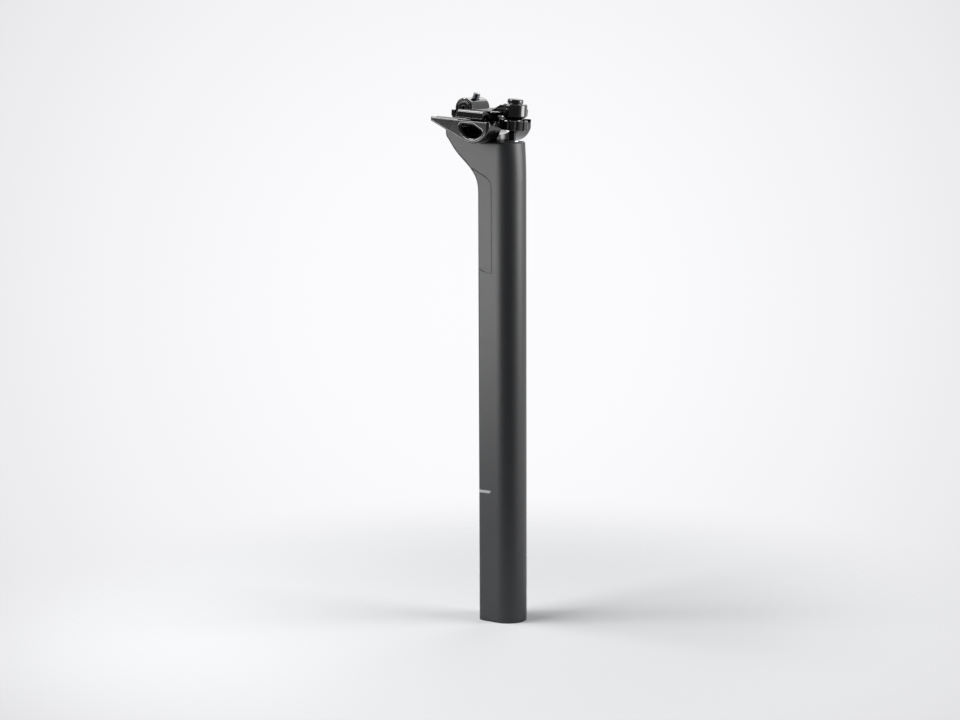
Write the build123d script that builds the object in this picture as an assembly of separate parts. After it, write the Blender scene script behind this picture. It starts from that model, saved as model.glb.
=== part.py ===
from build123d import *
import math
import os

# Carbon bicycle seatpost with a D-shaped tube, a set-back head and a two-bolt rail clamp.
# Lengths are in millimetres. +X points forward, +Y to the rider's left, +Z up the tube.
# The origin is on the mid plane at the lower end of the tube, just behind the centre of its nose.

# Tube and head, one carbon moulding
TUBE_HALF_WIDTH = 13.2        # flat sides, also the nose radius
TUBE_REAR_X = -14.4           # flat rear face
NOSE_X = 1.8                  # centre of the round nose
REAR_CORNER_R = 2.8
WALL = 2.0
TOP_Z = 333.4                 # level top face in front of the clamp
TOP_EDGE_R = 1.2
NOSE_TAPER_Z = TOP_Z - 26.4   # the nose draws in above this height
NOSE_TAPER_DEPTH = 1.2
BORE_TOP_Z = TOP_Z - 36.4

# Rear profile of the head, from the straight tube up to the tip, as X, Z
HEAD_REAR = [
    (TUBE_REAR_X, TOP_Z - 35.4), (-16.3, TOP_Z - 24.7), (-24.4, TOP_Z - 14.9), (-34.6, TOP_Z - 5.0),
    (-39.6, TOP_Z + 1.7),
]
HEAD_TIP = (-41.2, TOP_Z + 7.4)
HEAD_TIP_R = 1.1
RAMP_ANGLE = 19.0             # top of the head behind the seat, rising rearward

# Side recess, the same on both faces, open to the rear edge, as X, Z
RECESS_DEPTH = 1.7
RECESS_WALL = 1.9             # wall left under the recess
RECESS_FRONT_X = -2.5
RECESS_TOP = [
    (-17.2, TOP_Z - 18.6), (-12.5, TOP_Z - 21.2), (-9.1, TOP_Z - 22.8), (-5.7, TOP_Z - 24.8),
    (-3.6, TOP_Z - 27.1),
]
RECESS_BOTTOM = [
    (-3.0, TOP_Z - 89.3), (-5.7, TOP_Z - 89.0), (-9.1, TOP_Z - 88.2), (-20.0, TOP_Z - 84.6),
]
RECESS_TOP_STRAIGHT_Z = TOP_Z - 30.6
RECESS_BOTTOM_STRAIGHT_Z = TOP_Z - 87.4
RECESS_STEP_Z = TOP_Z - 101.4  # the bore narrows below the recess
RECESS_STEP_LENGTH = 8.0

# Clamp pivot: the round belly of the lower cradle turns in a trough in the head
PIVOT_X = -8.7
PIVOT_Z = TOP_Z + 13.0
BELLY_R = 13.65
SEAT_FIT = 0.05               # radial running fit of belly and trough
CLAMP_TILT = 3.5              # rails nose down, degrees

# Saddle rails held by the clamp, seen along the clamp's own axes (u forward, w up)
RAIL_R = 3.5
RAIL_SPACING = 44.0
RAIL_W = 2.8

# Lower cradle
CRADLE_HALF_WIDTH = 26.5
CRADLE_LIP_W = 2.0
CRADLE_REAR_U = -35.2
CRADLE_UNDERSIDE_ANGLE = 21.8
CRADLE_CORNER_R = 2.4
CRADLE_TIP_R = 1.1
CRADLE_INNER_HALF_WIDTH = 17.2
CRADLE_WELL_W = -3.4          # floor under the nut saddle
CRADLE_WELL_FRONT_U = -9.6
CRADLE_WELL_REAR_U = -26.0
WINDOW_R = 9.9                # round bottom of the window, about the clamp pivot
WINDOW_TOP_W = -1.6
WINDOW_TOP_FRONT_U = 0.9      # the top slopes down from here
WINDOW_FRONT_W = -5.2
WINDOW_CORNER_R = 1.3
WINDOW_LIP_R = 2.0            # rolled lower lip of the window
WINDOW_LIP_TOP_W = -3.0
CRADLE_SLOT_U = -22.0         # slot for the rear bolt
CRADLE_SLOT_LENGTH = 12.0
CRADLE_EDGE_R = 1.1
WHEEL_SPACE = 1.9             # radial room around the thumbwheel

# Upper clamp
BAR_INNER = 18.2
BAR_OUTER = 27.4
BAR_TOP_W = 8.7
BAR_EDGE_R = 1.6
BAR_SIDE = [(-17.6, 3.4), (-15.0, 7.4), (-13.4, BAR_TOP_W), (9.2, BAR_TOP_W), (8.7, 3.4)]
ARM_BOTTOM_W = 5.4
WEB_TOP_W = 7.6
STOP_W = 0.6                  # the upper clamp rests here on the cradle when no rails are in
SADDLE_REAR_U = -28.0
SADDLE_BOTTOM_W = -1.9
SADDLE_TOP_W = 6.8
SADDLE_HALF_WIDTH = 11.3
ARM_TOP = [(-3.0, 7.6), (1.0, 7.9), (3.4, 9.5), (9.1, 12.7), (16.6, 13.1)]
ARM_HALF_WIDTH = 6.6
SADDLE_SLOT_U = -21.35        # slot for the rear bolt
SADDLE_SLOT_LENGTH = 9.2
BOSS_U = 16.6
BOSS_R = 8.3
BOSS_TOP_W = 13.5
BOSS_EDGE_R = 1.0
SWIVEL_W = 13.9               # centre of the boss swivel
BOSS_DOME_R = 11.85
BOSS_CUP_R = 4.95
BOSS_HOLE_TOP_R = 3.1
BOSS_HOLE_BOTTOM_R = 4.05

# Hardware
THREAD_R = 2.5                # M5
SLOT_SPACE = 0.8              # room beside the rear bolt in its slots
LINK_CLEARANCE = 0.35         # at the two pivots where the linkage is opened
SHAFT_FIT = 0.08
FACE_FIT = 0.06

NUT_U = -18.5
NUT_W = 8.3
NUT_R = 7.0
NUT_LENGTH = 21.6
NUT_GROOVE_OUTER_R = 5.2      # ring turned in each end
NUT_GROOVE_INNER_R = 4.3
NUT_CENTRE_HOLE_R = 1.7

REAR_SEAT_X = -34.7           # ball centre of the rear washer
REAR_SEAT_Z = TOP_Z + 2.6
REAR_BALL_R = 4.4
REAR_BOLT_LENGTH = 32.1
REAR_POCKET_R = 5.4
REAR_HOLE_R = 3.3
REAR_INSERT_TOP = 2.8         # along the bolt from its ball centre
REAR_INSERT_BOTTOM = 1.0
BOLT_HEAD_R = 4.25
BOLT_HEAD_HEIGHT = 5.0
HEX_ACROSS_FLATS = 4.0

FRONT_BALL_X = 5.4            # ball centre of the front nut
FRONT_BALL_Z = TOP_Z - 7.4
FRONT_BALL_R = 5.2
BALL_NUT_HALF = 4.1
INSERT_R = 6.9
INSERT_BOTTOM_Z = FRONT_BALL_Z - 12.0
INSERT_SHOULDER_Z = TOP_Z - 1.8
COLLAR_X = 6.2                # the collar stands where the leaning screw comes out
COLLAR_R = 4.5
COLLAR_PROUD = 1.0
SWING_R = 3.25                # hole that the screw swings in
SWING_LEAN = 0.86             # its lean past the screw's, degrees
RING_R = 5.9
RING_TOP_Z = FRONT_BALL_Z - 3.4
RING_BOTTOM_Z = RING_TOP_Z - 3.2

WHEEL_R = 9.6
WHEEL_BOTTOM = 15.6           # along the screw from the front ball centre
WHEEL_TOP = 22.2
WHEEL_FLUTES = 12
FLUTE_R = 1.5
FLUTE_CENTRE_R = 10.3
LOWER_WASHER_R = 5.6
LOWER_WASHER_RECESS = 2.2
UPPER_BALL_R = BOSS_CUP_R - LINK_CLEARANCE
CAP_R = 5.4
CAP_HEIGHT = 2.8
SCREW_TAIL = 8.0              # screw below the front ball centre


def clamp_point(u, w):
    """World X, Z of a point given along and across the rails."""
    tilt = math.radians(CLAMP_TILT)
    x = PIVOT_X + u * math.cos(tilt) + w * math.sin(tilt)
    z = PIVOT_Z - u * math.sin(tilt) + w * math.cos(tilt)
    return x, z


# The clamp is drawn level around its pivot and set at the clamp's tilt.
CLAMP_FRAME = Location((PIVOT_X, 0, PIVOT_Z), (0, CLAMP_TILT, 0))

# The front screw runs from the ball nut in the post to the swivel in the boss.
SWIVEL_X, SWIVEL_Z = clamp_point(BOSS_U, SWIVEL_W)
SCREW_LEAN = math.degrees(math.atan2(SWIVEL_X - FRONT_BALL_X, SWIVEL_Z - FRONT_BALL_Z))
SCREW_FRAME = Location((FRONT_BALL_X, 0, FRONT_BALL_Z), (0, SCREW_LEAN, 0))
SWIVEL_S = math.hypot(SWIVEL_X - FRONT_BALL_X, SWIVEL_Z - FRONT_BALL_Z)

# The rear bolt runs from the ball seat in the head to the barrel nut.
NUT_X, NUT_Z = clamp_point(NUT_U, NUT_W)
BOLT_LEAN = math.degrees(math.atan2(NUT_X - REAR_SEAT_X, NUT_Z - REAR_SEAT_Z))
BOLT_FRAME = Location((REAR_SEAT_X, 0, REAR_SEAT_Z), (0, BOLT_LEAN, 0))


def side_plate(outline, y_low, y_high):
    """Prism of a closed X, Z outline between two Y planes."""
    face = make_face(outline)
    return Pos(0, (y_low + y_high) / 2, 0) * extrude(face, amount=(y_high - y_low) / 2, both=True)


def side_polygon(points, y_low, y_high):
    """Prism of a straight-edged X, Z outline between two Y planes."""
    outline = Plane.XZ * Polyline(*points, close=True)
    return side_plate(outline, y_low, y_high)


def rod(radius, low, high):
    """Upright cylinder on the local Z axis between two heights."""
    return Pos(0, 0, low) * Cylinder(radius, high - low, align=(Align.CENTER, Align.CENTER, Align.MIN))


def block(x_low, x_high, half_width, z_low, z_high):
    """Box between two X and two Z planes, even about Y = 0."""
    centre = ((x_low + x_high) / 2, 0, (z_low + z_high) / 2)
    return Pos(*centre) * Box(x_high - x_low, 2 * half_width, z_high - z_low)


def turned(profile):
    """Solid of revolution of a closed radius, height outline around the local Z axis."""
    face = make_face(Plane.XZ * Polyline(*profile, close=True))
    return revolve(face, Axis.Z, 360)


def d_section(inset):
    """D-shaped plan of the tube, drawn inside its outer surface by the inset."""
    half = TUBE_HALF_WIDTH - inset
    rear = TUBE_REAR_X + inset
    flat = Pos((rear + NOSE_X) / 2, 0) * Rectangle(NOSE_X - rear, 2 * half)
    corners = flat.vertices().sort_by(Axis.X)[:2]
    rounded = fillet(corners, max(REAR_CORNER_R - inset, 1.0))
    return rounded + Pos(NOSE_X, 0) * Circle(half)


# post: the D-shaped tube and the set-back head, moulded in one piece.
# The flat flanks run straight from the tube into the head.
ramp = math.radians(RAMP_ANGLE)
seat_r = BELLY_R + SEAT_FIT
ramp_start = (PIVOT_X - seat_r * math.sin(ramp), PIVOT_Z - seat_r * math.cos(ramp))
tip_top_z = ramp_start[1] + (ramp_start[0] - HEAD_TIP[0]) * math.tan(ramp)

rear_curve = Plane.XZ * Spline(*HEAD_REAR, HEAD_TIP, tangents=[(0, 1), (0, 1)])
above = HEAD_TIP[1] + 12
flank_outline = [
    Plane.XZ * Line(HEAD_REAR[0], (TUBE_REAR_X, 0)),
    Plane.XZ * Line((TUBE_REAR_X, 0), (NOSE_X, 0)),
    Plane.XZ * Line((NOSE_X, 0), (NOSE_X, above)),
    Plane.XZ * Line((NOSE_X, above), (HEAD_TIP[0], above)),
    Plane.XZ * Line((HEAD_TIP[0], above), HEAD_TIP),
    rear_curve,
]
flank = side_plate(Curve() + flank_outline, -TUBE_HALF_WIDTH, TUBE_HALF_WIDTH)
rear_edges = flank.edges().filter_by(lambda e: abs(abs(e.center().Y) - TUBE_HALF_WIDTH) < 0.01)
rear_edges = rear_edges.filter_by(lambda e: e.center().X < TUBE_REAR_X + 0.1)
rear_edges = rear_edges.filter_by(lambda e: abs(e.tangent_at(0.5).X) < 0.99)
post = fillet(rear_edges, REAR_CORNER_R)
post -= side_polygon([
    (HEAD_TIP[0] - 10, HEAD_TIP[1] + 0.6), (HEAD_TIP[0], HEAD_TIP[1] + 0.6),
    (HEAD_TIP[0] + HEAD_TIP_R, tip_top_z - HEAD_TIP_R * math.tan(ramp)), ramp_start,
    (ramp_start[0], TOP_Z), (NOSE_X + 1, TOP_Z), (NOSE_X + 1, above + 1), (HEAD_TIP[0] - 10, above + 1),
], -TUBE_HALF_WIDTH - 1, TUBE_HALF_WIDTH + 1)

nose_sections = [Pos(NOSE_X, 0, NOSE_TAPER_Z) * Circle(TUBE_HALF_WIDTH)]
for part_way in (0.3, 0.6, 1.0):
    height = NOSE_TAPER_Z + (TOP_Z - NOSE_TAPER_Z) * part_way
    depth = TUBE_HALF_WIDTH - NOSE_TAPER_DEPTH * part_way ** 2
    nose_sections.append(Pos(NOSE_X, 0, height) * Ellipse(depth, TUBE_HALF_WIDTH))
post += Pos(NOSE_X, 0, 0) * rod(TUBE_HALF_WIDTH, 0, NOSE_TAPER_Z)
post += loft(nose_sections)

rim = post.edges().filter_by(lambda e: abs(e.center().Z - TOP_Z) < 0.01 and e.length > 3)
rim = rim.filter_by(lambda e: e.center().X > ramp_start[0] + 0.5)
post = fillet(rim, TOP_EDGE_R)

# Side recesses
recess_top = Plane.XZ * Spline(*RECESS_TOP, (RECESS_FRONT_X, RECESS_TOP_STRAIGHT_Z))
recess_bottom = Plane.XZ * Spline((RECESS_FRONT_X, RECESS_BOTTOM_STRAIGHT_Z), *RECESS_BOTTOM)
recess_outline = [
    recess_top,
    Plane.XZ * Line((RECESS_FRONT_X, RECESS_TOP_STRAIGHT_Z), (RECESS_FRONT_X, RECESS_BOTTOM_STRAIGHT_Z)),
    recess_bottom,
    Plane.XZ * Line(RECESS_BOTTOM[-1], (-30.0, RECESS_BOTTOM[-1][1])),
    Plane.XZ * Line((-30.0, RECESS_BOTTOM[-1][1]), (-30.0, RECESS_TOP[0][1])),
    Plane.XZ * Line((-30.0, RECESS_TOP[0][1]), RECESS_TOP[0]),
]
recess_floor = TUBE_HALF_WIDTH - RECESS_DEPTH
recess_left = side_plate(Curve() + recess_outline, recess_floor, TUBE_HALF_WIDTH + 2)
post -= recess_left
post -= mirror(recess_left, Plane.XZ)

# Bore, open at the lower end, with thicker flanks behind the recesses
recess_inset = RECESS_DEPTH + RECESS_WALL
post -= Pos(0, 0, -1) * extrude(d_section(WALL), amount=RECESS_STEP_Z - RECESS_STEP_LENGTH + 1)
post -= loft([
    Pos(0, 0, RECESS_STEP_Z - RECESS_STEP_LENGTH) * d_section(WALL),
    Pos(0, 0, RECESS_STEP_Z) * d_section(recess_inset),
])
post -= Pos(0, 0, RECESS_STEP_Z) * extrude(d_section(recess_inset), amount=BORE_TOP_Z - RECESS_STEP_Z)

# Trough for the clamp's belly
post -= Pos(PIVOT_X, 0, PIVOT_Z) * Rot(90, 0, 0) * Cylinder(seat_r, 2 * TUBE_HALF_WIDTH + 2)

# Rear bolt: clearance hole, and a pocket on the underside with the seat insert above it
post -= BOLT_FRAME * rod(REAR_HOLE_R, 0, 12)
post -= BOLT_FRAME * rod(REAR_POCKET_R, -14, REAR_INSERT_TOP)

# Front screw: bore for the moulded-in insert, open to the tube below
INSERT_AXIS = Pos(FRONT_BALL_X, 0, 0)
post -= INSERT_AXIS * rod(INSERT_R, BORE_TOP_Z - 6, INSERT_SHOULDER_Z)
post -= Pos(COLLAR_X, 0, 0) * rod(COLLAR_R, INSERT_SHOULDER_Z - 0.5, TOP_Z + 2)

# front_insert: alloy sleeve moulded into the head, its collar standing above the top face.
# Its round inner seat carries the swivelling nut.
seat_ball_r = FRONT_BALL_R + SEAT_FIT
collar_top = TOP_Z + COLLAR_PROUD
front_insert = INSERT_AXIS * rod(INSERT_R, INSERT_BOTTOM_Z, INSERT_SHOULDER_Z)
collar = rod(COLLAR_R, INSERT_SHOULDER_Z - 0.5, collar_top)
front_insert += Pos(COLLAR_X, 0, 0) * chamfer(collar.edges().sort_by(Axis.Z)[-1], 0.25)
front_insert -= INSERT_AXIS * rod(RING_R, INSERT_BOTTOM_Z - 1, RING_TOP_Z)
front_insert -= INSERT_AXIS * rod(seat_ball_r, RING_TOP_Z - 1, FRONT_BALL_Z)
front_insert -= Pos(FRONT_BALL_X, 0, FRONT_BALL_Z) * Sphere(seat_ball_r)
swing = Location((FRONT_BALL_X, 0, FRONT_BALL_Z), (0, SCREW_LEAN + SWING_LEAN, 0)) * rod(SWING_R, -12, 12)
front_insert -= swing

# insert_ring: steel ring pressed in below the nut, dished to the same ball
insert_ring = INSERT_AXIS * rod(RING_R, RING_BOTTOM_Z, RING_TOP_Z) - swing
insert_ring -= Pos(FRONT_BALL_X, 0, FRONT_BALL_Z) * Sphere(seat_ball_r)

# ball_nut: threaded swivel nut for the front screw
ball_nut = Sphere(FRONT_BALL_R) & rod(FRONT_BALL_R, -BALL_NUT_HALF, BALL_NUT_HALF)
ball_nut -= rod(THREAD_R + SEAT_FIT, -BALL_NUT_HALF - 1, BALL_NUT_HALF + 1)
ball_nut = SCREW_FRAME * ball_nut

# front_screw: one threaded stud from below the ball nut up into the cap
front_screw = rod(THREAD_R, -SCREW_TAIL, SWIVEL_S + CAP_HEIGHT - 1.0)
front_screw = chamfer(front_screw.edges().sort_by(Axis.Z)[0], 0.5)
front_screw = SCREW_FRAME * front_screw

# thumbwheel: fluted adjusting wheel fixed on the screw, dished on top for the lower washer
thumbwheel = rod(WHEEL_R, WHEEL_BOTTOM, WHEEL_TOP)
thumbwheel = chamfer(thumbwheel.edges().filter_by(GeomType.CIRCLE), 0.5)
for flute in range(WHEEL_FLUTES):
    angle = 360 / WHEEL_FLUTES * (flute + 0.5)
    thumbwheel -= Rot(0, 0, angle) * Pos(FLUTE_CENTRE_R, 0, 0) * rod(FLUTE_R, WHEEL_BOTTOM - 1, WHEEL_TOP + 1)
thumbwheel -= rod(THREAD_R, WHEEL_BOTTOM - 1, WHEEL_TOP + 1)
thumbwheel -= rod(LOWER_WASHER_R + SHAFT_FIT, WHEEL_TOP - LOWER_WASHER_RECESS, WHEEL_TOP + 1)
thumbwheel = SCREW_FRAME * thumbwheel

# lower_ball_washer: dished washer between the wheel and the dome of the boss
lower_ball_washer = rod(LOWER_WASHER_R, WHEEL_TOP - LOWER_WASHER_RECESS + FACE_FIT, WHEEL_TOP + 1.5)
lower_ball_washer -= rod(THREAD_R + SHAFT_FIT, WHEEL_BOTTOM, WHEEL_TOP + 2)
lower_ball_washer -= Pos(0, 0, SWIVEL_S) * Sphere(BOSS_DOME_R + LINK_CLEARANCE)
lower_ball_washer = SCREW_FRAME * lower_ball_washer

# upper_ball_washer: half ball in the cup on top of the boss
upper_washer_top = SWIVEL_S + 0.1
upper_ball_washer = Pos(0, 0, SWIVEL_S) * Sphere(UPPER_BALL_R) & rod(UPPER_BALL_R, SWIVEL_S - 3.2, upper_washer_top)
upper_ball_washer -= rod(THREAD_R + SHAFT_FIT, SWIVEL_S - 5, SWIVEL_S + 2)
upper_ball_washer = SCREW_FRAME * upper_ball_washer

# front_cap: closed cap nut on the end of the screw
cap_bottom = upper_washer_top + FACE_FIT
front_cap = rod(CAP_R, cap_bottom, cap_bottom + CAP_HEIGHT)
front_cap = fillet(front_cap.edges().sort_by(Axis.Z)[-1], 1.0)
front_cap -= rod(THREAD_R, cap_bottom - 1, SWIVEL_S + CAP_HEIGHT - 1.0)
front_cap = SCREW_FRAME * front_cap

# lower_cradle: forged alloy cradle with a rail channel on each side and the round belly below.
# A D-shaped window runs through it above the belly.
slope = math.radians(CRADLE_UNDERSIDE_ANGLE)
belly_start = (-BELLY_R * math.sin(slope), -BELLY_R * math.cos(slope))
underside_rear_w = belly_start[1] + (belly_start[0] - CRADLE_REAR_U) * math.tan(slope)
cradle_outline = [
    Plane.XZ * Line((BELLY_R, 0), (BELLY_R, CRADLE_LIP_W)),
    Plane.XZ * Line((BELLY_R, CRADLE_LIP_W), (CRADLE_REAR_U, CRADLE_LIP_W)),
    Plane.XZ * Line((CRADLE_REAR_U, CRADLE_LIP_W), (CRADLE_REAR_U, underside_rear_w)),
    Plane.XZ * Line((CRADLE_REAR_U, underside_rear_w), belly_start),
    Plane.XZ * CenterArc((0, 0), BELLY_R, 270 - CRADLE_UNDERSIDE_ANGLE, 90 + CRADLE_UNDERSIDE_ANGLE),
]
lower_cradle = side_plate(Curve() + cradle_outline, -CRADLE_HALF_WIDTH, CRADLE_HALF_WIDTH)
lower_cradle = fillet(lower_cradle.edges().filter_by(Axis.Y).sort_by(Axis.X)[:2], CRADLE_TIP_R)
belly_edges = lower_cradle.edges().filter_by(GeomType.CIRCLE).filter_by(lambda e: e.length > 10)
lower_cradle = fillet(belly_edges, CRADLE_EDGE_R)

plan = Pos((CRADLE_REAR_U + BELLY_R) / 2, 0) * RectangleRounded(
    BELLY_R - CRADLE_REAR_U, 2 * CRADLE_HALF_WIDTH, CRADLE_CORNER_R)
lower_cradle &= Pos(0, 0, -20) * extrude(plan, amount=40)

window_rear = (-math.sqrt(WINDOW_R ** 2 - WINDOW_TOP_W ** 2), WINDOW_TOP_W)
window_top_front = (WINDOW_TOP_FRONT_U, WINDOW_TOP_W)
window_front = (math.sqrt(WINDOW_R ** 2 - WINDOW_FRONT_W ** 2), WINDOW_FRONT_W)
window = make_face(Curve() + [
    Plane.XZ * Line(window_rear, window_top_front),
    Plane.XZ * Line(window_top_front, window_front),
    Plane.XZ * ThreePointArc(window_front, (0, -WINDOW_R), window_rear),
])
window = fillet(window.vertices(), WINDOW_CORNER_R)
lower_cradle -= extrude(window, amount=30, both=True)
lip = lower_cradle.edges().filter_by(lambda e: abs(abs(e.center().Y) - CRADLE_HALF_WIDTH) < 0.01)
lip = lip.filter_by(lambda e: -WINDOW_R - 0.1 < e.center().Z < WINDOW_LIP_TOP_W)
lip = lip.filter_by(lambda e: e.center().X < window_front[0])
lower_cradle = fillet(lip, WINDOW_LIP_R)

lower_cradle -= block(CRADLE_WELL_FRONT_U, 20, CRADLE_INNER_HALF_WIDTH, STOP_W, 10)
lower_cradle -= block(-40, CRADLE_WELL_FRONT_U, CRADLE_INNER_HALF_WIDTH, CRADLE_WELL_W, 10)
lower_cradle -= block(-40, CRADLE_WELL_REAR_U, CRADLE_INNER_HALF_WIDTH, -10, 10)
lower_cradle -= Pos(BOSS_U, 0, 0) * rod(WHEEL_R + WHEEL_SPACE, -20, 10)

slot_width = 2 * (THREAD_R + SLOT_SPACE)
lower_cradle -= Pos(CRADLE_SLOT_U, 0, -20) * extrude(SlotOverall(CRADLE_SLOT_LENGTH, slot_width), amount=30)

rails = Part() + [
    Pos(0, side * RAIL_SPACING / 2, RAIL_W) * Rot(0, 90, 0) * Cylinder(RAIL_R, 120)
    for side in (-1, 1)
]
lower_cradle -= rails
lower_cradle = CLAMP_FRAME * lower_cradle

# upper_clamp: forged alloy bridge with two rail bars, a saddle for the barrel nut
# and an arm out to the front boss.
upper_clamp = side_polygon(BAR_SIDE, -BAR_OUTER, BAR_OUTER)
upper_clamp -= block(-30, 20, BAR_INNER, WEB_TOP_W, 10)
bar_edges = upper_clamp.edges().filter_by(Axis.X).filter_by(lambda e: abs(e.center().Z - BAR_TOP_W) < 0.01)
upper_clamp = fillet(bar_edges.sort_by(Axis.Y)[0], BAR_EDGE_R)
bar_edges = upper_clamp.edges().filter_by(Axis.X).filter_by(lambda e: abs(e.center().Z - BAR_TOP_W) < 0.01)
upper_clamp = fillet(bar_edges.sort_by(Axis.Y)[-1], BAR_EDGE_R)
upper_clamp += block(CRADLE_WELL_FRONT_U, 4.4, CRADLE_INNER_HALF_WIDTH - 0.4, STOP_W, WEB_TOP_W)
saddle = side_polygon([
    (SADDLE_REAR_U, SADDLE_TOP_W), (SADDLE_REAR_U, 3.2), (SADDLE_REAR_U + 2.0, 0.2),
    (SADDLE_REAR_U + 5.4, SADDLE_BOTTOM_W), (CRADLE_WELL_FRONT_U - 1.0, SADDLE_BOTTOM_W),
    (CRADLE_WELL_FRONT_U - 0.4, STOP_W), (-4.0, STOP_W), (-4.0, WEB_TOP_W), (-9.0, WEB_TOP_W + 1.1),
    (-12.0, WEB_TOP_W + 1.1), (-14.0, SADDLE_TOP_W),
], -SADDLE_HALF_WIDTH, SADDLE_HALF_WIDTH)
upper_clamp += saddle
upper_clamp -= Pos(BOSS_U, 0, 0) * rod(WHEEL_R + WHEEL_SPACE, 0, ARM_BOTTOM_W)
arm_side = ARM_TOP + [(ARM_TOP[-1][0], ARM_BOTTOM_W), (ARM_TOP[0][0], ARM_BOTTOM_W)]
upper_clamp += side_polygon(arm_side, -ARM_HALF_WIDTH, ARM_HALF_WIDTH)

boss = Pos(BOSS_U, 0, 0) * rod(BOSS_R, 0, BOSS_TOP_W)
boss = fillet(boss.edges().sort_by(Axis.Z)[-1], BOSS_EDGE_R)
boss &= Pos(BOSS_U, 0, SWIVEL_W) * Sphere(BOSS_DOME_R)
upper_clamp += boss
upper_clamp -= Pos(BOSS_U, 0, SWIVEL_W) * Sphere(BOSS_CUP_R)
upper_clamp -= Pos(BOSS_U, 0, 0) * turned([
    (0, 0), (BOSS_HOLE_BOTTOM_R, 0), (BOSS_HOLE_TOP_R, SWIVEL_W - 3.5), (0, SWIVEL_W - 3.5)])

upper_clamp -= Pos(NUT_U, 0, NUT_W) * Rot(90, 0, 0) * Cylinder(NUT_R + SEAT_FIT, 60)
upper_clamp -= block(NUT_U - NUT_R - SEAT_FIT, NUT_U + NUT_R + SEAT_FIT, 30, NUT_W, 20)
upper_clamp -= Pos(SADDLE_SLOT_U, 0, -10) * extrude(SlotOverall(SADDLE_SLOT_LENGTH, slot_width), amount=18)
upper_clamp -= rails
upper_clamp = CLAMP_FRAME * upper_clamp

# rear_barrel_nut: cross-drilled alloy barrel lying in the saddle
barrel = Rot(90, 0, 0) * Cylinder(NUT_R, NUT_LENGTH)
barrel = chamfer(barrel.edges().filter_by(GeomType.CIRCLE), 0.6)
for side in (-1, 1):
    end = Pos(0, side * NUT_LENGTH / 2, 0) * Rot(90, 0, 0)
    barrel -= end * (Cylinder(NUT_GROOVE_OUTER_R, 0.8) - Cylinder(NUT_GROOVE_INNER_R, 0.8))
    barrel -= end * Cylinder(NUT_CENTRE_HOLE_R, 6.0)
barrel -= rod(THREAD_R + LINK_CLEARANCE, -20, 20)
rear_barrel_nut = Location((NUT_X, 0, NUT_Z), (0, BOLT_LEAN, 0)) * barrel

# rear_bolt: M5 socket head screw, head below the washer
rear_bolt = rod(THREAD_R, 0, REAR_BOLT_LENGTH)
rear_bolt = chamfer(rear_bolt.edges().sort_by(Axis.Z)[-1], 0.6)
bolt_head = rod(BOLT_HEAD_R, -BOLT_HEAD_HEIGHT, 0)
rear_bolt += chamfer(bolt_head.edges().sort_by(Axis.Z)[0], 0.4)
hex_key = RegularPolygon(HEX_ACROSS_FLATS / 2, 6, major_radius=False)
rear_bolt -= Pos(0, 0, -BOLT_HEAD_HEIGHT) * extrude(hex_key, amount=2.5)
rear_bolt = BOLT_FRAME * rear_bolt

# rear_ball_washer: half ball on the bolt, under the seat insert
rear_ball_washer = Sphere(REAR_BALL_R) & rod(REAR_BALL_R, 0, 2.3)
rear_ball_washer -= rod(THREAD_R + SHAFT_FIT, -1, 5)
rear_ball_washer = BOLT_FRAME * rear_ball_washer

# rear_seat_insert: steel seat bonded in the pocket, cupped to the ball washer
rear_seat_insert = rod(REAR_POCKET_R, REAR_INSERT_BOTTOM, REAR_INSERT_TOP) - rod(REAR_HOLE_R, 0, 5)
rear_seat_insert -= Sphere(REAR_BALL_R + SEAT_FIT)
rear_seat_insert = BOLT_FRAME * rear_seat_insert

NODES = {
    "post": post,
    "front_insert": front_insert,
    "insert_ring": insert_ring,
    "ball_nut": ball_nut,
    "front_screw": front_screw,
    "thumbwheel": thumbwheel,
    "lower_ball_washer": lower_ball_washer,
    "upper_ball_washer": upper_ball_washer,
    "front_cap": front_cap,
    "lower_cradle": lower_cradle,
    "upper_clamp": upper_clamp,
    "rear_barrel_nut": rear_barrel_nut,
    "rear_bolt": rear_bolt,
    "rear_ball_washer": rear_ball_washer,
    "rear_seat_insert": rear_seat_insert,
}

os.makedirs("parts", exist_ok=True)
for name, solid in NODES.items():
    export_step(solid, f"parts/{name}.step")
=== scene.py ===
import bpy
import math
import numpy as np
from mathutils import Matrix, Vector


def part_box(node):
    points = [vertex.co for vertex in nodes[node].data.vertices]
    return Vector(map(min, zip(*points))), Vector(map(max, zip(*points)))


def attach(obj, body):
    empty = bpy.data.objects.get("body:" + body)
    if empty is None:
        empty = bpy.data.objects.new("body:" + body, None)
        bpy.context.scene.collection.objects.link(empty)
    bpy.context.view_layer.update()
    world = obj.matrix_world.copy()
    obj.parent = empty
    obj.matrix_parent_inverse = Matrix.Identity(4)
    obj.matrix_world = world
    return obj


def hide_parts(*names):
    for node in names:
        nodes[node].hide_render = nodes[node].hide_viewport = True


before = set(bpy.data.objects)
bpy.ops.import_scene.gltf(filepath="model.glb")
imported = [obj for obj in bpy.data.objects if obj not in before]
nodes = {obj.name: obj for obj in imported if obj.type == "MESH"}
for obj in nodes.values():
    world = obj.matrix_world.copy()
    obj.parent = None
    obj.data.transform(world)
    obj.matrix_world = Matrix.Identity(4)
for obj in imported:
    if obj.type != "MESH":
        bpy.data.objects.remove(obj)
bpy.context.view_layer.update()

# The post: one moulding of carbon fibre and epoxy, cured in a closed tool and sprayed with a matte
# clear lacquer over black, so it is a neutral near black with a broad soft sheen and a fine
# orange-peel grain.
CARBON_BLACK = "#18191b"
CARBON_SHEEN_BLACK = "#1d1e21"
LACQUER_IOR = 1.55
LACQUER_SMOOTHEST, LACQUER_ROUGHEST = 0.40, 0.46
LACQUER_GRAIN_MM, LACQUER_GRAIN_DEPTH_M, LACQUER_GRAIN_STRENGTH = 0.35, 0.00003, 0.10
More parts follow.
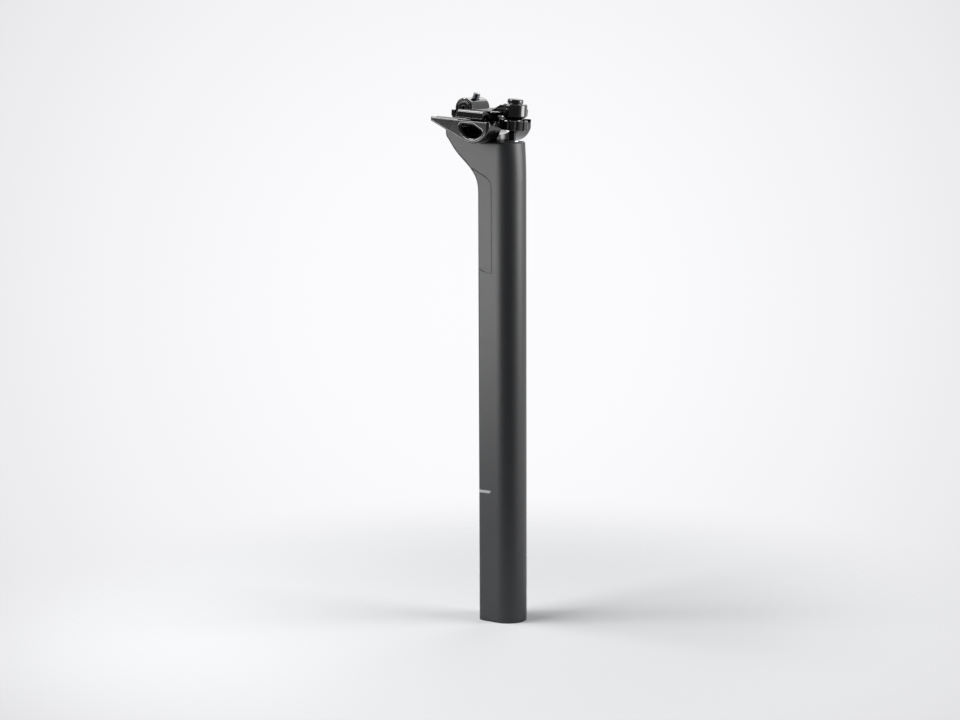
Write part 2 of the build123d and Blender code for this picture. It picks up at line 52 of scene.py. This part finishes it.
LAYUP_MOTTLE_MM = 9.0
MOULDED_EDGE_M = 0.0020
BEVEL_SAMPLES = 8


def linear(colour_hex):
    """sRGB hex to a linear RGBA tuple: a channel c becomes c / 12.92 up to 0.04045, and above that
    ((c + 0.055) / 1.055) to the power 2.4."""
    channels = [int(colour_hex[i:i + 2], 16) / 255 for i in (1, 3, 5)]
    red, green, blue = [c / 12.92 if c <= 0.04045 else ((c + 0.055) / 1.055) ** 2.4 for c in channels]
    return red, green, blue, 1.0


def add_node(material, kind, settings=None, links=None):
    """Adds one node. Settings go to sockets by name or index and else to attributes; links map a
    socket to (node, output)."""
    tree = material.node_tree
    node = tree.nodes.new(kind)
    for key, value in (settings or {}).items():
        if isinstance(key, int) or key in node.inputs:
            node.inputs[key].default_value = value
        else:
            setattr(node, key, value)
    for key, (source, output) in (links or {}).items():
        tree.links.new(source.outputs[output], node.inputs[key])
    return node


def new_material(name):
    """An empty node material with its output."""
    material = bpy.data.materials.new(name)
    material.use_nodes = True
    material.node_tree.nodes.clear()
    output = add_node(material, "ShaderNodeOutputMaterial")
    return material, output


def dress(piece, material):
    """Gives every material slot of a piece the material."""
    if not piece.data.materials:
        piece.data.materials.append(material)
    for slot in piece.material_slots:
        slot.material = material


carbon, carbon_out = new_material("matte_lacquered_carbon")
place = add_node(carbon, "ShaderNodeTexCoord")
grain = add_node(carbon, "ShaderNodeTexNoise",
                 {"Scale": 1000 / LACQUER_GRAIN_MM, "Detail": 3.0, "Roughness": 0.6},
                 {"Vector": (place, "Object")})
mottle = add_node(carbon, "ShaderNodeTexNoise",
                  {"Scale": 1000 / LAYUP_MOTTLE_MM, "Detail": 4.0, "Roughness": 0.55},
                  {"Vector": (place, "Object")})
shade = add_node(carbon, "ShaderNodeMix",
                 {"data_type": "RGBA", 6: linear(CARBON_BLACK), 7: linear(CARBON_SHEEN_BLACK)},
                 {0: (mottle, "Fac")})
satin = add_node(carbon, "ShaderNodeMapRange",
                 {"To Min": LACQUER_SMOOTHEST, "To Max": LACQUER_ROUGHEST},
                 {"Value": (mottle, "Fac")})
soft_edge = add_node(carbon, "ShaderNodeBevel", {"samples": BEVEL_SAMPLES, "Radius": MOULDED_EDGE_M})
peel = add_node(carbon, "ShaderNodeBump",
                {"Strength": LACQUER_GRAIN_STRENGTH, "Distance": LACQUER_GRAIN_DEPTH_M},
                {"Height": (grain, "Fac"), "Normal": (soft_edge, "Normal")})
carbon_skin = add_node(carbon, "ShaderNodeBsdfPrincipled", {"IOR": LACQUER_IOR},
                       {"Base Color": (shade, 2), "Roughness": (satin, "Result"),
                        "Normal": (peel, "Normal")})
carbon.node_tree.links.new(carbon_skin.outputs[0], carbon_out.inputs[0])
dress(nodes["post"], carbon)

# The insertion mark: one pale grey stripe printed on the right flank and round its rear corner, with
# its front end cut at a slant. It is a film of ink, so it stands a few hundredths proud.
MARK_REAR, MARK_FRONT = -3.7, 7.0
MARK_Z, MARK_HEIGHT, MARK_SLANT = 92.1, 1.9, 1.5
MARK_ROWS, MARK_COLUMNS = 4, 33
CORNER_END_X, CORNER_R = -11.6, 2.8
INK_PROUD, INK_DEPTH = 0.03, 0.01
INK_GREY, INK_PALE_GREY = "#8b8c8e", "#959698"
INK_ROUGHNESS = 0.55
INK_SPECKLE_MM = 0.4


def on_flank(along, height):
    """Points on the right side of the tube and the way they face. At a length s forward of where the
    rounded corner ends, a point is at x = end + s on the flat; for s below 0 it goes round the corner
    by the angle -s / R."""
    turn = np.clip(-along / CORNER_R, 0, None)
    centre_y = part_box("post")[0][1] * 1000 + CORNER_R
    x = CORNER_END_X + np.clip(along, 0, None) - CORNER_R * np.sin(turn)
    y = centre_y - CORNER_R * np.cos(turn)
    facing = np.stack([-np.sin(turn), -np.cos(turn), np.zeros_like(turn)], -1)
    return np.stack([x, y, height], -1), facing


def thin_plate(surface, facing, proud, depth):
    """Closed plate on a grid of surface points: one skin is pushed out along the way they face, the
    other in, and the rim is joined all round."""
    rows, cols = surface.shape[:2]
    skins = [(surface + facing * proud).reshape(-1, 3), (surface - facing * depth).reshape(-1, 3)]
    i, j = np.meshgrid(np.arange(rows - 1), np.arange(cols - 1), indexing="ij")
    a = (i * cols + j).ravel()
    outer = np.stack([a, a + 1, a + cols + 1, a + cols], 1)
    inner = outer[:, ::-1] + rows * cols
    loop = np.concatenate([
        np.arange(cols), np.arange(1, rows) * cols + cols - 1,
        (rows - 1) * cols + np.arange(cols - 2, -1, -1), np.arange(rows - 2, 0, -1) * cols])
    after = np.roll(loop, -1)
    rim = np.stack([after, loop, loop + rows * cols, after + rows * cols], 1)
    return np.concatenate(skins) / 1000, np.concatenate([outer, inner, rim])


def new_piece(name, points, faces, smooth=True):
    """A mesh object at the origin from point and face arrays."""
    mesh = bpy.data.meshes.new(name)
    mesh.from_pydata(points.tolist(), [], list(faces))
    mesh.update()
    if smooth:
        mesh.shade_smooth()
    piece = bpy.data.objects.new(name, mesh)
    bpy.context.scene.collection.objects.link(piece)
    return piece


up = np.linspace(0, 1, MARK_ROWS)[:, None]
forward = np.linspace(0, 1, MARK_COLUMNS)[None, :]
stripe_along = MARK_REAR + (MARK_FRONT + MARK_SLANT * up - MARK_REAR) * forward
stripe_height = np.broadcast_to(MARK_Z + MARK_HEIGHT * (up - 0.5), stripe_along.shape)
stripe, stripe_facing = on_flank(stripe_along, stripe_height)
stripe_plate = thin_plate(stripe, stripe_facing, INK_PROUD, INK_DEPTH)
mark = new_piece("insertion_mark", *stripe_plate, smooth=False)
ink, ink_out = new_material("printed_grey_ink")
place = add_node(ink, "ShaderNodeTexCoord")
speckle = add_node(ink, "ShaderNodeTexNoise",
                   {"Scale": 1000 / INK_SPECKLE_MM, "Detail": 2.0},
                   {"Vector": (place, "Object")})
ink_shade = add_node(ink, "ShaderNodeMix",
                     {"data_type": "RGBA", 6: linear(INK_GREY), 7: linear(INK_PALE_GREY)},
                     {0: (speckle, "Fac")})
ink_skin = add_node(ink, "ShaderNodeBsdfPrincipled",
                    {"Roughness": INK_ROUGHNESS}, {"Base Color": (ink_shade, 2)})
ink.node_tree.links.new(ink_skin.outputs[0], ink_out.inputs[0])
dress(mark, ink)
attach(mark, "post")

# The clamp: the cradle and the bridge are cold-forged 7075 alloy, the barrel nut, wheel and cap are
# turned from bar. All are anodised black, the turned ones and the bridge polished to a gloss, and the
# cradle left satin, with its edges rounded by tumbling.
ANODISED_BLACK = "#050506"
ANODISED_SHEEN_BLACK = "#08080a"
FORGED_WAVE_MM, FORGED_WAVE_DEPTH_M, FORGED_WAVE_STRENGTH = 4.0, 0.00005, 0.05
TUMBLED_EDGE_M = 0.0005
OXIDE_IOR = 1.65
SATIN_SMOOTHEST, SATIN_ROUGHEST = 0.15, 0.20
POLISHED_SMOOTHEST, POLISHED_ROUGHEST = 0.05, 0.10


def black_anodised(name, smoothest, roughest):
    """Black anodised alloy: a dyed oxide skin with a faint waviness and rounded edges, its roughness
    drifting between the two values."""
    skin_material, skin_out = new_material(name)
    place = add_node(skin_material, "ShaderNodeTexCoord")
    wave = add_node(skin_material, "ShaderNodeTexNoise",
                    {"Scale": 1000 / FORGED_WAVE_MM, "Detail": 1.0}, {"Vector": (place, "Object")})
    gloss = add_node(skin_material, "ShaderNodeMapRange", {"To Min": smoothest, "To Max": roughest},
                     {"Value": (wave, "Fac")})
    worn_edge = add_node(skin_material, "ShaderNodeBevel",
                         {"samples": BEVEL_SAMPLES, "Radius": TUMBLED_EDGE_M})
    wavy = add_node(skin_material, "ShaderNodeBump",
                    {"Strength": FORGED_WAVE_STRENGTH, "Distance": FORGED_WAVE_DEPTH_M},
                    {"Height": (wave, "Fac"), "Normal": (worn_edge, "Normal")})
    tint = add_node(skin_material, "ShaderNodeMix",
                    {"data_type": "RGBA", 6: linear(ANODISED_BLACK), 7: linear(ANODISED_SHEEN_BLACK)},
                    {0: (wave, "Fac")})
    skin = add_node(skin_material, "ShaderNodeBsdfPrincipled", {"IOR": OXIDE_IOR},
                    {"Base Color": (tint, 2), "Roughness": (gloss, "Result"),
                     "Normal": (wavy, "Normal")})
    skin_material.node_tree.links.new(skin.outputs[0], skin_out.inputs[0])
    return skin_material


satin_black = black_anodised("satin_black_anodised_forging", SATIN_SMOOTHEST, SATIN_ROUGHEST)
dress(nodes["lower_cradle"], satin_black)
gloss_black = black_anodised("gloss_black_anodised_alloy", POLISHED_SMOOTHEST, POLISHED_ROUGHEST)
for name in ("upper_clamp", "rear_barrel_nut", "thumbwheel", "front_cap"):
    dress(nodes[name], gloss_black)

# The insert moulded into the head, of which only the collar shows: turned 6061 alloy left bare, with
# fine turning marks that make its shine drift.
BARE_ALLOY = "#b9babc"
BARE_SMOOTHEST, BARE_ROUGHEST = 0.28, 0.42
TURNING_MARKS_PER_MM = 1.5

bare, bare_out = new_material("bare_turned_alloy")
place = add_node(bare, "ShaderNodeTexCoord")
turning = add_node(bare, "ShaderNodeTexNoise",
                   {"Scale": 1000 * TURNING_MARKS_PER_MM, "Detail": 3.0},
                   {"Vector": (place, "Object")})
turned_gloss = add_node(bare, "ShaderNodeMapRange",
                        {"To Min": BARE_SMOOTHEST, "To Max": BARE_ROUGHEST},
                        {"Value": (turning, "Fac")})
bare_skin = add_node(bare, "ShaderNodeBsdfPrincipled",
                     {"Base Color": linear(BARE_ALLOY), "Metallic": 1.0},
                     {"Roughness": (turned_gloss, "Result")})
bare.node_tree.links.new(bare_skin.outputs[0], bare_out.inputs[0])
dress(nodes["front_insert"], bare)

# The washers, swivel nut and seats: turned from heat-treated steel, zinc plated and passivated to a
# dark grey, so they shine softly with fine turning marks.
PLATED_STEEL, PALE_PLATED_STEEL = "#55575a", "#626467"
PLATING_SMOOTHEST, PLATING_ROUGHEST = 0.22, 0.34
PLATING_CLOUDS_PER_MM = 0.9

steel, steel_out = new_material("plated_steel")
place = add_node(steel, "ShaderNodeTexCoord")
film = add_node(steel, "ShaderNodeTexNoise",
                {"Scale": 1000 * PLATING_CLOUDS_PER_MM, "Detail": 3.0},
                {"Vector": (place, "Object")})
film_gloss = add_node(steel, "ShaderNodeMapRange",
                      {"To Min": PLATING_SMOOTHEST, "To Max": PLATING_ROUGHEST},
                      {"Value": (film, "Fac")})
film_tint = add_node(steel, "ShaderNodeMix",
                     {"data_type": "RGBA", 6: linear(PLATED_STEEL), 7: linear(PALE_PLATED_STEEL)},
                     {0: (film, "Fac")})
steel_skin = add_node(steel, "ShaderNodeBsdfPrincipled", {"Metallic": 1.0},
                      {"Base Color": (film_tint, 2), "Roughness": (film_gloss, "Result")})
steel.node_tree.links.new(steel_skin.outputs[0], steel_out.inputs[0])
for name in ("insert_ring", "ball_nut", "lower_ball_washer", "upper_ball_washer", "rear_ball_washer",
             "rear_seat_insert"):
    dress(nodes[name], steel)

# The front screw: an M5 stud of the same plated steel with a rolled thread over its whole length. It
# leans forward from the ball nut in the post up into the cap.
THREAD_R, THREAD_PITCH, THREAD_DEPTH = 2.5, 0.8, 0.45
THREAD_ROWS_PER_TURN, THREAD_COLUMNS = 8, 40
FRONT_BALL = (5.4, 0.0, 326.0)
FRONT_LEAN_DEG = 5.70
FRONT_LOW, FRONT_HIGH, FRONT_CHAMFER = -8.0, 35.23, 0.5
SHARP_EDGE_DEG = 40


def thread_rows(low, high, chamfer_low, chamfer_high):
    """Rows of heights and radii for a threaded shaft: the radius at height z and angle a is R less the
    thread's depth times a triangle wave of z / pitch - a / turn, cut back at both ends by a chamfer."""
    count = int((high - low) / THREAD_PITCH * THREAD_ROWS_PER_TURN) + 1
    z = np.linspace(low, high, count)[:, None]
    turn = np.arange(THREAD_COLUMNS)[None, :] / THREAD_COLUMNS
    wave = np.abs((z / THREAD_PITCH - turn) % 1.0 * 2 - 1)
    radius = THREAD_R - THREAD_DEPTH * wave
    room = np.minimum(z - low + THREAD_R - chamfer_low, high - z + THREAD_R - chamfer_high)
    return np.broadcast_to(z, radius.shape), np.minimum(radius, room)


def turned_mesh(heights, radii, base, lean_deg):
    """Closed surface of rings about an axis through the base point that leans forward: ring i, column
    j is at radius r(i, j) and height z(i, j), and a single point closes each end."""
    columns = radii.shape[1]
    angle = np.arange(columns)[None, :] * 2 * math.pi / columns
    ring = np.stack([radii * np.cos(angle), radii * np.sin(angle), heights], -1).reshape(-1, 3)
    ends = np.array([[0, 0, heights[0].mean()], [0, 0, heights[-1].mean()]])
    local = np.concatenate([ring, ends])
    lean = math.radians(lean_deg)
    turn = np.array([
        [math.cos(lean), 0, math.sin(lean)], [0, 1, 0], [-math.sin(lean), 0, math.cos(lean)]])
    points = (local @ turn.T + np.array(base)) / 1000
    i, j = np.meshgrid(np.arange(radii.shape[0] - 1), np.arange(columns), indexing="ij")
    a, b = i * columns + j, i * columns + (j + 1) % columns
    walls = np.stack([a, b, b + columns, a + columns], -1).reshape(-1, 4)
    around = np.arange(columns)
    after = (around + 1) % columns
    last = (radii.shape[0] - 1) * columns
    low_end = np.stack([after, around, np.full(columns, len(ring))], -1)
    high_end = np.stack([around + last, after + last, np.full(columns, len(ring) + 1)], -1)
    return points, walls.tolist() + low_end.tolist() + high_end.tolist()


def new_turned_piece(name, heights, radii, base, lean_deg):
    """A turned mesh at the origin, shaded smooth but for its sharp edges."""
    points, faces = turned_mesh(heights, radii, base, lean_deg)
    piece = new_piece(name, points, faces)
    piece.data.set_sharp_from_angle(angle=math.radians(SHARP_EDGE_DEG))
    return piece


stud_heights, stud_radii = thread_rows(
    FRONT_LOW, FRONT_HIGH, chamfer_low=FRONT_CHAMFER, chamfer_high=0.0)
stud = new_turned_piece("front_screw_threaded", stud_heights, stud_radii, FRONT_BALL, FRONT_LEAN_DEG)
dress(stud, steel)
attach(stud, "adjuster")
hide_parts("front_screw")

# The rear bolt: an M5 socket head screw, head down in the pocket under the head of the post, its rolled
# thread coming out through the barrel nut.
REAR_SEAT = (-34.7, 0.0, 336.0)
REAR_LEAN_DEG = 22.09
REAR_HIGH, REAR_CHAMFER = 32.1, 0.6
HEAD_R, HEAD_HEIGHT, HEAD_CHAMFER = 4.25, 5.0, 0.4
SOCKET_FLATS, SOCKET_DEPTH = 4.0, 2.5

column_angle = np.arange(THREAD_COLUMNS) * 2 * math.pi / THREAD_COLUMNS
hexagon = SOCKET_FLATS / 2 / np.cos((column_angle + math.pi / 6) % (math.pi / 3) - math.pi / 6)
circle = np.ones(THREAD_COLUMNS)
head_profile = [
    (SOCKET_DEPTH - HEAD_HEIGHT, hexagon), (-HEAD_HEIGHT, hexagon),
    (-HEAD_HEIGHT, circle * (HEAD_R - HEAD_CHAMFER)), (HEAD_CHAMFER - HEAD_HEIGHT, circle * HEAD_R),
    (0.0, circle * HEAD_R), (0.0, circle * THREAD_R),
]
shaft_heights, shaft_radii = thread_rows(0.0, REAR_HIGH, chamfer_low=0.0, chamfer_high=REAR_CHAMFER)
head_heights = [np.full(THREAD_COLUMNS, height) for height, _ in head_profile]
bolt_heights = np.concatenate([head_heights, shaft_heights])
bolt_radii = np.concatenate([[radius for _, radius in head_profile], shaft_radii])
bolt = new_turned_piece("rear_bolt_threaded", bolt_heights, bolt_radii, REAR_SEAT, REAR_LEAN_DEG)
dress(bolt, steel)
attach(bolt, "rear_bolt")
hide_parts("rear_bolt")

# The table: a plain pale sheet that runs out of sight behind, with the post standing on it. Away from
# the post the lens and the reflections look past it into the white studio.
FLOOR_WHITE = "#dfe0e2"
TABLE_HALF_M = 6.0
FADE_FROM_M, FADE_TO_M = 0.10, 0.42

table_corners = TABLE_HALF_M * np.array([[-1, -1, 0], [1, -1, 0], [1, 1, 0], [-1, 1, 0]], float)
floor = new_piece("floor", table_corners, np.array([[0, 1, 2, 3]]), smooth=False)
sheet, sheet_out = new_material("pale_table_sheet")
place = add_node(sheet, "ShaderNodeTexCoord")
paper = add_node(sheet, "ShaderNodeBsdfDiffuse", {"Color": linear(FLOOR_WHITE)})
open_studio = add_node(sheet, "ShaderNodeBsdfTransparent")
distance = add_node(sheet, "ShaderNodeVectorMath", {"operation": "LENGTH"}, {0: (place, "Object")})
fade = add_node(sheet, "ShaderNodeMapRange",
                {"From Min": FADE_FROM_M, "From Max": FADE_TO_M, "interpolation_type": "SMOOTHSTEP"},
                {"Value": (distance, "Value")})
sheet_ray = add_node(sheet, "ShaderNodeLightPath")
lens_or_gloss = add_node(sheet, "ShaderNodeMath", {"operation": "MAXIMUM"},
                         {0: (sheet_ray, "Is Camera Ray"), 1: (sheet_ray, "Is Glossy Ray")})
seen_by = add_node(sheet, "ShaderNodeMath", {"operation": "MAXIMUM"},
                   {0: (lens_or_gloss, "Value"), 1: (sheet_ray, "Is Transmission Ray")})
faded = add_node(sheet, "ShaderNodeMath", {"operation": "MULTIPLY"},
                 {0: (fade, "Result"), 1: (seen_by, "Value")})
sheet_mix = add_node(sheet, "ShaderNodeMixShader", {},
                     {0: (faded, "Value"), 1: (paper, 0), 2: (open_studio, 0)})
sheet.node_tree.links.new(sheet_mix.outputs[0], sheet_out.inputs[0])
dress(floor, sheet)

# The studio: a white sweep behind and round the sides, brightest in the middle of the picture, and a
# dim side behind the camera. It lights the post only faintly.
LOOK_AZIMUTH, LOOK_DOWN = 35.0, 6.8
SWEEP_WHITE, SWEEP_REACH_DEG = "#fdfdff", 16
SWEEP_EDGE, SWEEP_MIDDLE = 0.78, 0.99
DIM_AZIMUTH, DIM_FROM_DEG, DIM_TO_DEG = 5.0, 100, 60
SIDE_BRIGHT, SIDE_DIM = 1.0, 0.14
ROOM_WHITE, ROOM_FILL = "#ffffff", 0.08


def heading(azimuth_deg, elevation_deg):
    """Unit vector: (sin a cos e, -cos a cos e, sin e), the azimuth counted from the post's right."""
    a, e = math.radians(azimuth_deg), math.radians(elevation_deg)
    return math.sin(a) * math.cos(e), -math.cos(a) * math.cos(e), math.sin(e)


world = bpy.data.worlds.new("studio")
bpy.context.scene.world = world
world.use_nodes = True
world.node_tree.nodes.clear()
world_out = add_node(world, "ShaderNodeOutputWorld")
gaze = add_node(world, "ShaderNodeTexCoord")
off_centre = add_node(world, "ShaderNodeVectorMath",
                      {"operation": "DOT_PRODUCT", 1: heading(LOOK_AZIMUTH + 180, -LOOK_DOWN)},
                      {0: (gaze, "Generated")})
sweep_glow = add_node(world, "ShaderNodeMapRange",
                      {"From Min": math.cos(math.radians(SWEEP_REACH_DEG)), "From Max": 1.0,
                       "To Min": SWEEP_EDGE, "To Max": SWEEP_MIDDLE},
                      {"Value": (off_centre, "Value")})
sweep = add_node(world, "ShaderNodeBackground",
                 {"Color": linear(SWEEP_WHITE)}, {"Strength": (sweep_glow, "Result")})
to_dim_side = add_node(world, "ShaderNodeVectorMath",
                       {"operation": "DOT_PRODUCT", 1: heading(DIM_AZIMUTH, 0)},
                       {0: (gaze, "Generated")})
side_glow = add_node(world, "ShaderNodeMapRange",
                     {"From Min": math.cos(math.radians(DIM_FROM_DEG)),
                      "From Max": math.cos(math.radians(DIM_TO_DEG)),
                      "To Min": SIDE_BRIGHT, "To Max": SIDE_DIM, "interpolation_type": "SMOOTHSTEP"},
                     {"Value": (to_dim_side, "Value")})
side_room = add_node(world, "ShaderNodeBackground",
                     {"Color": linear(ROOM_WHITE)}, {"Strength": (side_glow, "Result")})
dim_room = add_node(world, "ShaderNodeBackground", {"Color": linear(ROOM_WHITE), "Strength": ROOM_FILL})
room_ray = add_node(world, "ShaderNodeLightPath")
mirror_ray = add_node(world, "ShaderNodeMath", {"operation": "MAXIMUM"},
                      {0: (room_ray, "Is Glossy Ray"), 1: (room_ray, "Is Transmission Ray")})
lit_mix = add_node(world, "ShaderNodeMixShader", {},
                   {0: (mirror_ray, "Value"), 1: (dim_room, 0), 2: (side_room, 0)})
room_mix = add_node(world, "ShaderNodeMixShader", {},
                    {0: (room_ray, "Is Camera Ray"), 1: (lit_mix, 0), 2: (sweep, 0)})
world.node_tree.links.new(room_mix.outputs[0], world_out.inputs[0])


def softbox(name, azimuth_deg, away_m, height_m, aim_height_m, size_m, watts):
    """A rectangular area light round the post at an azimuth, turned to face a point of its axis."""
    lamp = bpy.data.lights.new(name, "AREA")
    lamp.shape = "RECTANGLE"
    lamp.size, lamp.size_y = size_m
    lamp.energy = watts
    holder = bpy.data.objects.new(name, lamp)
    bpy.context.scene.collection.objects.link(holder)
    right, ahead, _ = heading(azimuth_deg, 0)
    holder.location = (right * away_m, ahead * away_m, height_m)
    to_aim = Vector((0, 0, aim_height_m)) - holder.location
    holder.rotation_euler = to_aim.to_track_quat("-Z", "Y").to_euler()


# Two softboxes near on the left, with a gap between them that keeps the clamp's upright faces dark. A
# large one on the right draws the line of light down the nose and the boss, a small one overhead
# lights the clamp's top edges, and a weak one behind lifts the far side.
softbox("left_low_softbox", azimuth_deg=-38, away_m=0.75, height_m=0.17, aim_height_m=0.17,
        size_m=(0.60, 0.18), watts=2.9)
softbox("left_high_softbox", azimuth_deg=-38, away_m=0.75, height_m=0.61, aim_height_m=0.33,
        size_m=(0.60, 0.34), watts=5.2)
softbox("right_softbox", azimuth_deg=116, away_m=0.90, height_m=0.43, aim_height_m=0.33,
        size_m=(0.56, 0.46), watts=6.9)
softbox("overhead_softbox", azimuth_deg=-65, away_m=0.42, height_m=0.98, aim_height_m=0.35,
        size_m=(0.34, 0.24), watts=3.5)
softbox("back_softbox", azimuth_deg=192, away_m=0.65, height_m=0.85, aim_height_m=0.35,
        size_m=(0.50, 0.40), watts=1.3)

# The camera: level with the head of the post, as in the photograph, pitched down to centre it and
# rolled by the photograph's slight lean.
CAMERA_MM = (847.8, -1241.9, 404.8)
CAMERA_PITCH_DEG = 8.38
CAMERA_ROLL_DEG = 0.22
CAMERA_AZIMUTH_DEG = 34.95
FOCAL_MM, SENSOR_MM = 82.64, 36.0
NEAREST_M, FARTHEST_M = 0.05, 60.0

camera_data = bpy.data.cameras.new("camera")
camera_data.lens = FOCAL_MM
camera_data.sensor_width = SENSOR_MM
camera = bpy.data.objects.new("camera", camera_data)
bpy.context.scene.collection.objects.link(camera)
camera.location = Vector(CAMERA_MM) / 1000
camera_turns_deg = (90 - CAMERA_PITCH_DEG, CAMERA_ROLL_DEG, CAMERA_AZIMUTH_DEG)
camera.rotation_euler = [math.radians(turn) for turn in camera_turns_deg]
camera_data.clip_start, camera_data.clip_end = NEAREST_M, FARTHEST_M
bpy.context.scene.camera = camera
bpy.context.scene.view_settings.view_transform = "Standard"
